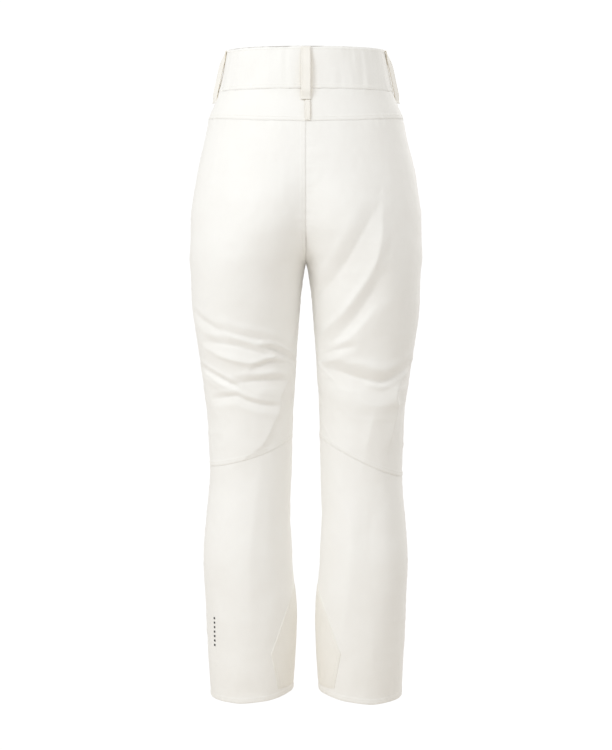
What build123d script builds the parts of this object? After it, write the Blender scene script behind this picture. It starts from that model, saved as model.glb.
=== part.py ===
"""Insulated ski pants, worn shape, hanging from the waist. Units are millimetres.

The origin is the centre of the waist opening, level with the waistband's top edge.
+Z is up, the front faces -Y, and the wearer's left is +X.

Each side of the pants is one tube that runs from waist to hem. Above the crotch the two
tubes run into each other and stop at the centre plane, where the centre seams are, so
the left side is modelled and the right side is its mirror image. A layer of cloth is the
space between two copies of the tube, each taken in by its own depth.
"""
from build123d import *
import math
import os

os.makedirs("parts", exist_ok=True)

# ---- Body of the garment: height, centre and half size of the left tube's ellipses ----
# name: (height z, centre x, half width, centre y, half depth)
SECTIONS = {
    "above waist": (12, 0, 127.5, 0, 94.5),
    "waist top": (0, 0, 130, 0, 96),
    "waist seam": (-69, 0, 144, 3, 104),
    "yoke": (-118, 4, 157, 6, 113),
    "high hip": (-185, 18, 159, 9, 121),
    "hip": (-260, 42, 146.5, 12, 127),
    "low hip": (-310, 68, 122.5, 12, 125),
    "crotch": (-352, 95.6, 95.6, 10, 117),
    "thigh": (-432, 98, 87, 5, 104),
    "mid thigh": (-531, 94.3, 76.3, 0, 91),
    "above knee": (-630, 92, 68, -3, 80),
    "knee": (-700, 91.3, 66.3, -3, 76),
    "calf top": (-779, 94.8, 69.2, 3, 77),
    "calf": (-840, 95.5, 72.7, 7, 79),
    "shin": (-927, 91.2, 73.8, 6, 80),
    "ankle": (-1020, 90, 71, 3, 80),
    "hem": (-1070, 89.5, 68.5, 1, 78),
    "below hem": (-1082, 89.3, 68, 1, 78),
}

# ---- Depths of the layers, measured inwards from the outer face ----
SHELL = (0, 3.0)  # outer cloth with its insulation
BAND = (0, 1.8)  # waistband's outer cloth
ELASTIC = (2.0, 3.0)
FACING = (3.3, 4.5)
LINING = (3.3, 4.3)
POCKET = (4.6, 6.2)
GUARD = (-1.5, -0.3)  # a negative depth stands proud of the cloth
PRINT = (-0.45, -0.15)
TAB = (-4.4, -2.4)

# ---- Seam heights ----
BAND_Z = -69.0  # waistband to yoke
YOKE_CENTRE_Z, YOKE_SIDE_Z = -122.0, -114.0
HIP_CUT_Z = -362.0  # where the leg turns against the seat, just under the crotch
KNEE_INNER_Z, KNEE_OUTER_Z = -649.0, -705.0
HEM_INNER_Z, HEM_OUTER_Z = -1062.0, -1070.0
JOINT_GAP = 1.0  # between bodies that turn against each other
KNEE_INNER_X, KNEE_OUTER_X = 25.0, 158.0

# ---- Closures ----
FLY_TOP_Z, FLY_LENGTH = -72.0, 160.0
FLY_SLOT, FLY_TAPE = 17.0, 16.0
POCKET_TOP = (133.0, -104.0)  # x and z of the pocket zip's upper end
POCKET_FOOT = (152.0, -212.0)
POCKET_SLOT, POCKET_TAPE = 15.0, 14.0
CHAIN_WIDTH, CHAIN_THICK = 5.0, 1.4
TAPE_THICK = 0.6
ZIP_SLIT = 1.4  # room between the two halves of a zip for the slider's post
SLIDER = (8.6, 10.0, 1.0)  # width, length and plate thickness
SLIDER_CLEAR = 0.3
PULL = (5.0, 24.0, 1.4)
PIN_R, PIN_HOLE_R = 0.6, 0.65

SNAP_X, SNAP_Z = -22.0, (-18.0, -50.0)
SNAP_CAP_R, SNAP_SOCKET_R, SNAP_HOLE_R, SNAP_STUD_R = 7.0, 5.5, 2.1, 1.8
SNAP_STAND = 0.3  # room for the flat snaps on the curved cloth
TAB_X = (-38.0, 2.0)

# ---- Loops, patches and cuffs ----
LOOP_WIDTH, LOOP_THICK, LOOP_LENGTH = 18.0, 1.6, 87.0
BACK_TAB = (10.0, 2.0, 30.0)  # width, thickness and length
GUARD_TOP_Z, GUARD_POINT, GUARD_FOOT_X = -886.0, (60.0, -1001.0), 50.0
GAITER_TOP_Z, GAITER_FOOT_Z = -885.0, -1046.0
GAITER_CUFF = 24.0
MARK_X, MARK_TOP_Z, MARK_STEP, MARK_SIZE, MARK_COUNT = 149.5, -936.0, 7.6, 3.2, 7
POCKET_OUTLINE = [(92, -100), (150, -100), (162, -215), (150, -268), (96, -262)]  # x, z

BIG = 1500.0


# ---------------------------------------------------------------- basic tools
def tube(depth, names=None):
    """The left tube, taken in by a depth, as one smooth solid."""
    rows = [SECTIONS[n] for n in (names or SECTIONS)]
    faces = [
        Plane(origin=(cx, cy, z)) * Ellipse(a - depth, b - depth)
        for z, cx, a, cy, b in rows
    ]
    return loft(faces)


TUBES = {}


def tube_at(depth):
    """The left tube at a depth, made once."""
    if depth not in TUBES:
        TUBES[depth] = tube(depth)
    return TUBES[depth]


def block(x=(-BIG, BIG), y=(-BIG, BIG), z=(-BIG, BIG)):
    """A box from its limits on each axis."""
    size = [high - low for low, high in (x, y, z)]
    middle = [(high + low) / 2 for low, high in (x, y, z)]
    return Pos(*middle) * Box(*size)


LAYERS = {}


def layer(depths):
    """The left half's cloth between two depths, stopped at the centre plane."""
    if depths not in LAYERS:
        wall = tube_at(depths[0]) - tube_at(depths[1])
        LAYERS[depths] = wall & block(x=(0, BIG))
    return LAYERS[depths]


def below(shape, plane):
    return split(shape, bisect_by=plane, keep=Keep.BOTTOM)


def above(shape, plane):
    return split(shape, bisect_by=plane, keep=Keep.TOP)


def level(z):
    return Plane.XY.offset(z)


def slope(x0, z0, x1, z1, shift=0.0):
    """A plane through two points of the XZ plane and parallel to Y, facing up."""
    run, rise = x1 - x0, z1 - z0
    length = math.hypot(run, rise)
    normal = (-rise / length, 0, run / length)
    origin = (x0 + normal[0] * shift, 0, z0 + normal[2] * shift)
    return Plane(origin=origin, x_dir=(run, 0, rise), z_dir=normal)


def front_of(shape):
    return split(shape, bisect_by=Plane.XZ, keep=Keep.TOP)


def back_of(shape):
    return split(shape, bisect_by=Plane.XZ, keep=Keep.BOTTOM)


def mirrored(shape):
    return mirror(shape, about=Plane.YZ)


def surface_y(x, z, side, depth=0.0):
    """y of the cloth at x and z, on the front (side -1) or the back (side 1)."""
    probe = Edge.make_line((abs(x), 0, z), (abs(x), side * 300, z))
    inside = tube_at(depth) & probe
    ends = [v.Y for edge in inside.edges() for v in edge.vertices()]
    return max(ends, key=lambda y: side * y)


def tangent_plane(x, z, side):
    """A plane that touches the cloth at x and z, with its z axis pointing out of it."""
    step = 3.0
    lean = surface_y(x + step, z, side) - surface_y(x - step, z, side)
    tilt = surface_y(x, z + step, side) - surface_y(x, z - step, side)
    out = Vector(-lean, 2 * step, -tilt) * side
    origin = (x, surface_y(x, z, side), z)
    return Plane(origin=origin, x_dir=(2 * step, lean, 0), z_dir=out)


def save(name, shape):
    """Writes a node's solids as one STEP file."""
    solids = shape.solids()
    print(name, len(solids), round(sum(s.volume for s in solids)))
    export_step(Compound(children=list(solids)), f"parts/{name}.step")


def save_pair(name, shape):
    """Writes the wearer's left piece and its mirror image."""
    save(f"{name}_left", shape)
    save(f"{name}_right", mirrored(shape))


# ---------------------------------------------------------------- seam planes
KNEE = (KNEE_INNER_X, KNEE_INNER_Z, KNEE_OUTER_X, KNEE_OUTER_Z)
HEM = (KNEE_INNER_X, HEM_INNER_Z, KNEE_OUTER_X, HEM_OUTER_Z)
yoke_plane = slope(0, YOKE_CENTRE_Z, 160, YOKE_SIDE_Z)
knee_upper = slope(*KNEE, shift=JOINT_GAP / 2)
knee_lower = slope(*KNEE, shift=-JOINT_GAP / 2)
hem_plane = slope(*HEM)


def seat_zone(shape):
    """What lies between the waist seam and the leg's turning line."""
    return above(below(shape, level(BAND_Z)), level(HIP_CUT_Z + JOINT_GAP / 2))


def thigh_zone(shape):
    return above(below(shape, level(HIP_CUT_Z - JOINT_GAP / 2)), knee_upper)


def shin_zone(shape, foot=hem_plane):
    return above(below(shape, knee_lower), foot)


# ---------------------------------------------------------------- zips
def zip_frame(top, foot, side=-1):
    """A plane at a zip's upper end: its z axis leaves the cloth, its y axis runs down."""
    t = Vector(top[0], surface_y(top[0], top[1], side), top[1])
    f = Vector(foot[0], surface_y(foot[0], foot[1], side), foot[1])
    run = (f - t).normalized()
    middle_x, middle_z = (top[0] + foot[0]) / 2, (top[1] + foot[1]) / 2
    step = 4.0
    across = Vector(
        2 * step,
        surface_y(middle_x + step, middle_z, side)
        - surface_y(middle_x - step, middle_z, side),
        0,
    )
    out = across.cross(run).normalized() * -side
    if out.Y * side < 0:
        out = -out
    return Plane(origin=t, x_dir=run.cross(out), z_dir=out), (f - t).length


def zip_halves(frame, length, tape_width, sink):
    """The two tapes and the two halves of the chain, a little under the cloth's face."""
    half = (tape_width - ZIP_SLIT) / 2
    rail = (CHAIN_WIDTH - ZIP_SLIT) / 2
    tapes, chains = [], []
    for s in (-1, 1):
        tape = Pos(s * (ZIP_SLIT + half) / 2, length / 2, -sink - TAPE_THICK / 2)
        tapes.append(frame * tape * Box(half, length, TAPE_THICK))
        bar = Pos(s * (ZIP_SLIT + rail) / 2, length / 2, -sink + CHAIN_THICK / 2)
        chains.append(frame * bar * Box(rail, length - 2, CHAIN_THICK))
    return Compound(children=tapes), Compound(children=chains)


def zip_slider(frame, sink):
    """Two plates joined by a post that runs between the chain's halves, with two ears."""
    width, long, plate = SLIDER
    top_z = -sink + CHAIN_THICK + SLIDER_CLEAR
    foot_z = -sink - TAPE_THICK - SLIDER_CLEAR - plate
    mid_y = long / 2 + 2
    body = Pos(0, mid_y, top_z + plate / 2) * Box(width, long, plate)
    body += Pos(0, mid_y, foot_z + plate / 2) * Box(width, long, plate)
    post_height = top_z - foot_z
    body += Pos(0, 4, foot_z + post_height / 2) * Box(ZIP_SLIT - 0.4, 3, post_height)
    ear_z, ear_y = top_z + plate, mid_y
    for s in (-1, 1):
        ear = Pos(s * 2.1, ear_y, ear_z + 1.2) * Box(1.2, 3.6, 2.4)
        body += ear
    hole = Pos(0, ear_y, ear_z + 1.3) * Rot(0, 90, 0) * Cylinder(PIN_HOLE_R, 12)
    return frame * (body - hole), frame * Pos(0, ear_y, ear_z + 1.3)


def zip_pull(hinge):
    """A tab that hangs from a pin between the slider's ears."""
    width, long, thick = PULL
    pin = Rot(0, 90, 0) * Cylinder(PIN_R, 5.4)
    neck = Pos(0, 3.5, 0) * Box(2.4, 7, 1.1)
    tab = Pos(0, 6 + long / 2, 0.3) * Box(width, long, thick)
    tab = fillet(tab.edges().filter_by(Axis.Z), 2.0)
    eye = Rot(0, 90, 0) * Cylinder(1.1, 2.4)
    return hinge * (pin + eye + neck + tab)


# ---------------------------------------------------------------- loops
def belt_loop(angle, bow, width=LOOP_WIDTH, foot=0.35):
    """A strap in the upright plane at an angle round the waist, tacked at both ends.

    Its middle bows out for the belt. Where the waist curves tightly its ends stand off
    a little too, so that the edges of the flat strap stay clear of the cloth.
    """
    out = Vector(math.cos(math.radians(angle)), math.sin(math.radians(angle)), 0)
    heights = [-1.5, -LOOP_LENGTH * 0.3, -LOOP_LENGTH * 0.68, -LOOP_LENGTH]
    reach = []
    for z in heights:
        probe = Edge.make_line(Vector(0, 0, z), Vector(0, 0, z) + out * 400)
        both = [tube_at(0) & probe, mirrored(tube_at(0)) & probe]
        ends = [v for part in both for e in part.edges() for v in e.vertices()]
        reach.append(max(math.hypot(v.X, v.Y) for v in ends))
    rise = [foot, bow * 0.75, bow, foot]
    inner = [(r + d, z) for r, d, z in zip(reach, rise, heights)]
    outer = [(r + LOOP_THICK, z) for r, z in inner]
    plane = Plane(origin=(0, 0, 0), x_dir=out, z_dir=out.cross(Vector(0, 0, 1)))
    edges = [
        Spline(*inner),
        Line(inner[-1], outer[-1]),
        Spline(*outer[::-1]),
        Line(outer[0], inner[0]),
    ]
    strap = plane * make_face(Wire(edges))
    return extrude(strap, width / 2, both=True)


# ---------------------------------------------------------------- pieces
fly_frame, fly_long = zip_frame((0, FLY_TOP_Z), (0, FLY_TOP_Z - FLY_LENGTH))
pocket_frame, pocket_long = zip_frame(POCKET_TOP, POCKET_FOOT)
FLY_SINK, POCKET_SINK = -1.0, -3.0  # a negative sink lifts the zip off the chord
fly_slot = fly_frame * Pos(0, fly_long / 2, 0) * Box(FLY_SLOT, fly_long + 1, 40)
pocket_slot = pocket_frame * Pos(0, pocket_long / 2, 0) * Box(
    POCKET_SLOT, pocket_long + 1, 22
)


def make_waist():
    band = above(below(layer(BAND), level(0)), level(BAND_Z))
    save("waistband_back", back_of(band) + mirrored(back_of(band)))
    save_pair("waistband_front", front_of(band) & block(x=(0.4, BIG)))
    facing = above(below(layer(FACING), level(-1)), level(BAND_Z))
    facing = facing - block(x=(-1, 1), y=(-BIG, 0))
    save_pair("waist_facing", facing)
    elastic = above(below(layer(ELASTIC), level(-14)), level(BAND_Z + 12))
    save_pair("waist_elastic", elastic & block(x=(24, BIG), y=(2, BIG)))


def make_seat():
    shell = seat_zone(layer(SHELL))
    back, front = back_of(shell), front_of(shell)
    save_pair("back_yoke", above(back, yoke_plane))
    save_pair("seat_back", below(back, yoke_plane))
    save_pair("seat_front", front - fly_slot - pocket_slot)
    lining = seat_zone(layer(LINING))
    save_pair("seat_lining", lining - fly_slot - pocket_slot)


def make_legs():
    shell = layer(SHELL)
    thigh, shin = thigh_zone(shell), shin_zone(shell)
    save_pair("thigh_back", back_of(thigh))
    save_pair("thigh_front", front_of(thigh))
    save_pair("thigh_lining", thigh_zone(layer(LINING)))
    save_pair("lower_leg_back", back_of(shin))
    save_pair("lower_leg_front", front_of(shin))
    lining_foot = slope(*HEM, shift=26.0)
    save_pair("lower_leg_lining", shin_zone(layer(LINING), lining_foot))


def make_guard():
    outline = Polyline(
        (-8, GUARD_TOP_Z + 24),
        (GUARD_POINT[0] * 0.3, GUARD_TOP_Z),
        GUARD_POINT,
        (GUARD_FOOT_X, HEM_OUTER_Z - 20),
        (-8, HEM_OUTER_Z - 20),
        close=True,
    )
    prism = extrude(Plane.XZ * make_face(outline), 300, both=True)
    save_pair("scuff_guard", above(layer(GUARD), slope(*HEM, shift=1.0)) & prism)


def make_gaiter():
    """An inner cuff that narrows from the lining to an elastic grip at its foot."""
    rows = [SECTIONS["calf"], SECTIONS["shin"], SECTIONS["ankle"]]
    top, foot = rows[1], rows[2]
    levels = (GAITER_TOP_Z, GAITER_FOOT_Z + GAITER_CUFF, GAITER_FOOT_Z)
    takes = (8.0, 17.0, 18.0)

    def wall(extra, heights):
        faces = []
        for z, take in heights:
            share = (z - top[0]) / (foot[0] - top[0])
            cx, a, cy, b = [
                top[i] + (foot[i] - top[i]) * min(1, max(0, share)) for i in (1, 2, 3, 4)
            ]
            take = take + extra
            faces.append(Plane(origin=(cx, cy, z)) * Ellipse(a - take, b - take))
        return loft(faces, ruled=True)

    skirt = list(zip(levels, takes))
    save_pair("snow_gaiter", wall(0, skirt) - wall(1.2, skirt))
    grip = [(GAITER_FOOT_Z + GAITER_CUFF - 2, takes[2] + 1.6), (GAITER_FOOT_Z + 2, takes[2] + 1.6)]
    save_pair("gaiter_elastic", wall(0, grip) - wall(1.2, grip))


def make_loops():
    save("belt_loop_back", belt_loop(90, 6.5, foot=0.6))
    save_pair("belt_loop_side", belt_loop(2, 9.0, foot=0.9))
    save_pair("belt_loop_front", belt_loop(-62, 6.5, LOOP_WIDTH - 4, foot=0.9))
    width, thick, long = BACK_TAB
    top_z = -LOOP_LENGTH - 3.0
    y = max(surface_y(5, top_z - k * long, 1) for k in (0, 0.5, 1)) + 0.4
    tab = Pos(0, y + thick / 2, top_z - long / 2) * Box(width, thick, long)
    save("back_hook_tab", fillet(tab.edges().filter_by(Axis.Y), 2.0))


def make_zips():
    """The fly zip, which is a front zip on the centre line, and the two pocket zips."""
    tapes, chains = zip_halves(fly_frame, fly_long, FLY_TAPE, FLY_SINK)
    slider, hinge = zip_slider(fly_frame, FLY_SINK)
    save("fly_zip_tapes", tapes)
    save("fly_zip_teeth", chains)
    save("fly_slider", slider)
    save("fly_pull", zip_pull(hinge))
    report_joint("fly", fly_frame, fly_long, hinge)
    tapes, chains = zip_halves(pocket_frame, pocket_long, POCKET_TAPE, POCKET_SINK)
    slider, hinge = zip_slider(pocket_frame, POCKET_SINK)
    save_pair("pocket_zip_tapes", tapes)
    save_pair("pocket_zip_teeth", chains)
    save_pair("pocket_slider", slider)
    save_pair("pocket_pull", zip_pull(hinge))
    report_joint("pocket_left", pocket_frame, pocket_long, hinge)
    guard_y = surface_y(0, FLY_TOP_Z, -1) + 9
    guard = Pos(0, guard_y, FLY_TOP_Z - fly_long / 2 + 2) * Box(34, 1.4, fly_long)
    save("fly_guard", guard)


def report_joint(name, frame, length, hinge):
    """Prints what the record needs to know about a zip's slide and its pull's hinge."""
    print("JOINT", name, "run", tuple(frame.y_dir), "long", length)
    print("JOINT", name, "pull at", tuple(hinge.position), "across", tuple(frame.x_dir))


def make_pocket_bags():
    outline = Polyline(*POCKET_OUTLINE, close=True)
    prism = extrude(Plane.XZ * make_face(outline), 300, both=True)
    bag = layer(POCKET) & prism & block(y=(-BIG, -20))
    save_pair("pocket_bag", bag)


def make_front_closure():
    """The waist tab, which laps over the right front, with its two snaps."""
    strip = block(x=TAB_X, y=(-BIG, 0), z=(-66, -3))
    wall = tube_at(TAB[0]) - tube_at(TAB[1])
    save("waist_tab", wall & strip)
    caps, studs = [], []
    outside, inside = SNAP_STAND - TAB[0], -TAB[1] - SNAP_STAND
    for z in SNAP_Z:
        face = tangent_plane(SNAP_X, z, -1)
        cap = Pos(0, 0, outside + 0.8) * Cylinder(SNAP_CAP_R, 1.6)
        cap = fillet(cap.edges().group_by(Axis.Z)[-1], 0.7)
        socket = Pos(0, 0, inside - 0.6) * Cylinder(SNAP_SOCKET_R, 1.2)
        socket -= Pos(0, 0, inside - 0.6) * Cylinder(SNAP_HOLE_R, 2.4)
        caps += [face * cap, face * socket]
        base = Pos(0, 0, 0.55) * Cylinder(SNAP_SOCKET_R, 0.5)
        stud = Pos(0, 0, 1.25) * Cylinder(SNAP_STUD_R, 1.2)
        studs.append(face * (base + stud))
    save("snap_caps", Compound(children=caps))
    save("snap_studs", Compound(children=studs))
    hinge_y = surface_y(TAB_X[1] + 2, -35, -1) - 3.4
    print("JOINT waist_tab at", (TAB_X[1] + 2, hinge_y, 0))


def make_print():
    """A column of plain squares on the outer back of the left lower leg."""
    half = MARK_SIZE / 2
    squares = []
    for k in range(MARK_COUNT):
        z = MARK_TOP_Z - k * MARK_STEP
        square = block(x=(MARK_X - half, MARK_X + half), y=(20, 90), z=(z - half, z + half))
        squares.append(square)
    save("ankle_mark", layer(PRINT) & Compound(children=squares))


make_waist()
make_seat()
make_legs()
make_guard()
make_gaiter()
make_loops()
make_zips()
make_pocket_bags()
make_front_closure()
make_print()
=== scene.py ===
# %% [markdown]
# # A pair of insulated ski pants
#
# The pants hang from the waist as if somebody invisible wore them. Their real parts are
# cut cloth: a waistband, a yoke, long leg panels, lower-leg panels under a slanted knee
# seam, a lining, snow gaiters, belt loops, zips and snaps. The rigid model gives every
# piece its place and its joints. This script gives each piece its cloth.

# %% Load the rigid model
import math

import bpy
import numpy as np
from mathutils import Matrix, Vector


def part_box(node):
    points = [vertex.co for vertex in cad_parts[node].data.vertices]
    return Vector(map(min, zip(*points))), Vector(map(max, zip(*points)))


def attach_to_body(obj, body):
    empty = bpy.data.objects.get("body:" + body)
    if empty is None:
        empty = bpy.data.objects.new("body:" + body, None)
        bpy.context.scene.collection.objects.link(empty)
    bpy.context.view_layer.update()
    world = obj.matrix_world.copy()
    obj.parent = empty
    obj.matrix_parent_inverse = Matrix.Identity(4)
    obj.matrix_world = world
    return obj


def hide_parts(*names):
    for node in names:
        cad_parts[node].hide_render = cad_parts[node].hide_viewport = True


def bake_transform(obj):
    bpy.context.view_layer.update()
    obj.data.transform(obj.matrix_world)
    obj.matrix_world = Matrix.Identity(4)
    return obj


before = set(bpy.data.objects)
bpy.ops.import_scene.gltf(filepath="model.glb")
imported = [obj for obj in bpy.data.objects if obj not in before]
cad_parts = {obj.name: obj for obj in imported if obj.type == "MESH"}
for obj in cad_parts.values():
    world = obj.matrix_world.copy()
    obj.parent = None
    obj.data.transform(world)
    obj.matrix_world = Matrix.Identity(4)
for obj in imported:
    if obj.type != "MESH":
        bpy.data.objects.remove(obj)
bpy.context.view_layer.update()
MM = 0.001
LEFT, RIGHT = 1, -1
BACK, FRONT = 1, -1
SIDES = {"left": LEFT, "right": RIGHT}


# %% [markdown]
# ## Nodes
#
# Colours are written as hex codes, as a dyer's card gives them. One function adds every
# node, for materials and for the surroundings, so that each node reads as one sentence.

# %% Node helpers
def linear(code):
    """An sRGB hex colour as linear light."""
    parts = [int(code[k:k + 2], 16) / 255 for k in (0, 2, 4)]
    return [((c + 0.055) / 1.055) ** 2.4 if c > 0.04 else c / 12.92 for c in parts] + [1]


def add(owner, kind, inputs=(), **settings):
    """Adds a node, with its settings and what goes into its sockets."""
    node = owner.node_tree.nodes.new(kind)
    for key, value in settings.items():
        setattr(node, key, value)
    for key, value in dict(inputs).items():
        if isinstance(value, bpy.types.NodeSocket):
            owner.node_tree.links.new(value, node.inputs[key])
        else:
            node.inputs[key].default_value = value
    return node


def start_material(name, roughness, metallic=0.0, sheen=0.0, coat=0.0):
    """A new material and its shader, with what is the same all over the surface."""
    material = bpy.data.materials.new(name)
    material.use_nodes = True
    sockets = material.node_tree.nodes["Principled BSDF"].inputs
    sockets["Metallic"].default_value = metallic
    sockets["Roughness"].default_value = roughness
    sockets["Sheen Weight"].default_value = sheen
    sockets["Sheen Roughness"].default_value = 0.45
    sockets["Coat Weight"].default_value = coat
    return material, sockets


def finish_material(material, sockets, colour, shine, bump):
    """Joins the colour, roughness and bump nodes to the shader."""
    links = material.node_tree.links
    links.new(colour.outputs["Result"], sockets["Base Color"])
    links.new(shine.outputs[0], sockets["Roughness"])
    links.new(bump.outputs[0], sockets["Normal"])
    return material


# %% [markdown]
# ## Stage
#
# A product studio is a white sweep, one broad light high on one side, a small one above
# and a wide one in front of the pants. The sweep fills the rest. The camera stands
# behind the wearer, a little below the waist, and looks slightly down, so that the waist
# curves up and the hems curve down.

# %% Camera, lights and floor
MIDDLE = Vector((0, 0, -0.54))
WARM_WHITE = (1.0, 0.98, 0.945, 1)
BRIGHTER_WAY = (0.11, 0, 0.03)  # the surroundings brighten this way and darken the other
FLOOR_COLOUR = (0.72, 0.66, 0.58, 1)


def look_at(thing, point):
    """Turns a camera or a light so that it faces a point."""
    away = thing.location - Vector(point)
    thing.rotation_mode = "QUATERNION"
    thing.rotation_quaternion = away.to_track_quat("Z", "Y")


def add_camera(place, target, view_height):
    """A camera whose picture is view_height tall at the target."""
    data = bpy.data.cameras.new("camera")
    camera = bpy.data.objects.new("camera", data)
    bpy.context.scene.collection.objects.link(camera)
    camera.location = place
    look_at(camera, target)
    distance = (Vector(place) - Vector(target)).length
    data.sensor_width = 36.0
    data.lens = data.sensor_width * distance / view_height
    bpy.context.scene.camera = camera


def add_light(name, place, target, size, power, warmth=(1, 1, 1)):
    """A round soft light."""
    data = bpy.data.lights.new(name, "AREA")
    data.shape = "DISK"
    data.size = size
    data.energy = power
    data.color = warmth
    light = bpy.data.objects.new(name, data)
    bpy.context.scene.collection.objects.link(light)
    light.location = place
    look_at(light, target)


def white_surroundings(ambient, seen):
    """A pale world: one brightness lights the cloth, a brighter one is the backdrop."""
    world = bpy.data.worlds.new("studio")
    bpy.context.scene.world = world
    world.use_nodes = True
    direction = add(world, "ShaderNodeTexCoord")
    tilt = add(world, "ShaderNodeVectorMath",
               {0: direction.outputs["Generated"], 1: BRIGHTER_WAY},
               operation="DOT_PRODUCT")
    strength = add(world, "ShaderNodeMath",
                   {0: tilt.outputs["Value"], 1: ambient, 2: ambient},
                   operation="MULTIPLY_ADD")
    light = world.node_tree.nodes["Background"]
    light.inputs["Color"].default_value = WARM_WHITE
    world.node_tree.links.new(strength.outputs[0], light.inputs["Strength"])
    backdrop = add(world, "ShaderNodeBackground",
                   {"Color": (1, 1, 1, 1), "Strength": seen})
    rays = add(world, "ShaderNodeLightPath")
    mix = add(world, "ShaderNodeMixShader",
              {0: rays.outputs["Is Camera Ray"], 1: light.outputs[0],
               2: backdrop.outputs[0]})
    surface = world.node_tree.nodes["World Output"].inputs["Surface"]
    world.node_tree.links.new(mix.outputs[0], surface)


def add_floor(height, radius):
    """A pale round floor that the pants hang over."""
    bpy.ops.mesh.primitive_circle_add(vertices=96, radius=radius, fill_type="NGON",
                                      location=(0, 0, height))
    floor = bpy.context.object
    floor.name = "studio_floor"
    floor.data.transform(floor.matrix_world)
    floor.matrix_world.identity()
    paint, sockets = start_material("matt_studio_floor", 0.8)
    sockets["Base Color"].default_value = FLOOR_COLOUR
    floor.data.materials.append(paint)


add_floor(-1.5, 1.2)
bpy.context.scene.view_settings.view_transform = "Standard"
white_surroundings(0.715, 1.05)
add_camera((0, 3.4, -0.30), (0, 0, -0.5365), 1.2515)
add_light("key", (2.05, 2.1, 1.1), MIDDLE, 1.4, 25.5, (0.88, 0.94, 1.0))
add_light("top_key", (-0.1, 2.4, 1.5), (0, 0, -0.15), 1.2, 10.5, (0.92, 0.96, 1.0))
add_light("front_key", (-2.4, -3.0, 0.8), MIDDLE, 2.4, 40)


# %% [markdown]
# ## The shape under the cloth
#
# Each leg with its half of the seat is one tube of stacked ellipses. Above the crotch
# the two tubes run into each other and stop at the centre seam. Every cloth piece is a
# patch of this tube, so neighbours meet along their seams.

# %% The tube
SECTIONS = np.array([  # height, centre x, half width, centre y, half depth, in mm
    (12, 0, 127.5, 0, 94.5),
    (0, 0, 130, 0, 96),
    (-69, 0, 144, 3, 104),
    (-118, 4, 157, 6, 113),
    (-185, 18, 159, 9, 121),
    (-260, 42, 146.5, 12, 127),
    (-310, 68, 122.5, 12, 125),
    (-352, 95.6, 95.6, 10, 117),
    (-432, 98, 87, 5, 104),
    (-531, 94.3, 76.3, 0, 91),
    (-630, 92, 68, -3, 80),
    (-700, 91.3, 66.3, -3, 76),
    (-779, 94.8, 69.2, 3, 77),
    (-840, 95.5, 72.7, 7, 79),
    (-927, 91.2, 73.8, 6, 80),
    (-1020, 90, 71, 3, 80),
    (-1070, 89.5, 68.5, 1, 78),
    (-1082, 89.3, 68, 1, 78),
])[::-1]
CROTCH_Z = -352.0


def smooth(t):
    """Rises gently from 0 to 1 as t does."""
    t = np.clip(t, 0, 1)
    return t * t * (3 - 2 * t)


def bell(t):
    """1 where t is 0, and dies away on both sides."""
    return np.exp(-(t**2))


def unit(vectors):
    return vectors / np.linalg.norm(vectors, axis=-1, keepdims=True)


def gentle_slopes(heights, values):
    """Slopes for a curve through the sections that never swings past any of them."""
    steps = np.diff(values, axis=0) / np.diff(heights)[:, None]
    before, after = steps[:-1], steps[1:]
    agree = before * after > 0
    both = np.where(agree, before + after, 1.0)
    inner = np.where(agree, 2 * before * after / both, 0.0)
    return np.vstack([steps[:1], inner, steps[-1:]])


SECTION_SLOPES = gentle_slopes(SECTIONS[:, 0], SECTIONS[:, 1:])


def section(z):
    """Centre and half sizes of the tube's ellipse at heights z, by a smooth curve."""
    heights, values, slopes = SECTIONS[:, 0], SECTIONS[:, 1:], SECTION_SLOPES
    z = np.asarray(z, float)
    k = np.clip(np.searchsorted(heights, z) - 1, 0, len(heights) - 2)
    span = (heights[k + 1] - heights[k])[..., None]
    t = (z - heights[k])[..., None] / span
    start, end = values[k], values[k + 1]
    leave, arrive = slopes[k] * span, slopes[k + 1] * span
    out = (2 * t**3 - 3 * t**2 + 1) * start + (t**3 - 2 * t**2 + t) * leave
    out = out + (3 * t**2 - 2 * t**3) * end + (t**3 - t**2) * arrive
    return np.moveaxis(out, -1, 0)


def edge_angle(x, z, depth=0.0):
    """The angle round the tube, from the outer side, at which it reaches x."""
    cx, a, _, _ = section(z)
    return np.arccos(np.clip((x - cx) / (a - depth), -1, 1))


def tube_points(side, angle, z, depth=0.0):
    """Points on the tube and the directions that leave it there."""
    cx, a, cy, b = section(z)
    x, y = cx + (a - depth) * np.cos(angle), cy + (b - depth) * np.sin(angle)
    points = np.stack([x, y, z], -1)
    # at the centre seam cloth only moves back or forth, so that both sides still meet
    at_centre_seam = (1 - smooth(x / 26)) * smooth((z - CROTCH_Z) / 6)
    sideways = np.cos(angle) / a * (1 - at_centre_seam)
    out = unit(np.stack([sideways, np.sin(angle) / b, np.zeros_like(z)], -1))
    flip = np.array([side, 1, 1])
    return points * flip, out * flip


print("the tube has", len(SECTIONS), "sections")


# %% [markdown]
# ## Unevenness
#
# No sewn cloth is a perfect surface. Smooth random numbers on a 3-D lattice give soft
# dents and ripples that run on over every seam, because they depend only on the place.

# %% Smooth random numbers
LATTICE = np.random.default_rng(7).uniform(-1, 1, (32, 32, 32))


def noise(points, size, shift=0.0):
    """Smooth random numbers from -1 to 1. Size is the distance between bumps, in mm."""
    p = points / np.asarray(size, float) + shift + 100.0
    low = np.floor(p).astype(int)
    t = smooth(p - low)
    total = np.zeros(p.shape[:-1])
    for corner in np.ndindex(2, 2, 2):
        index = (low + np.array(corner)) % 32
        share = np.prod(np.where(np.array(corner) == 1, t, 1 - t), axis=-1)
        total += share * LATTICE[index[..., 0], index[..., 1], index[..., 2]]
    return total


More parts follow.
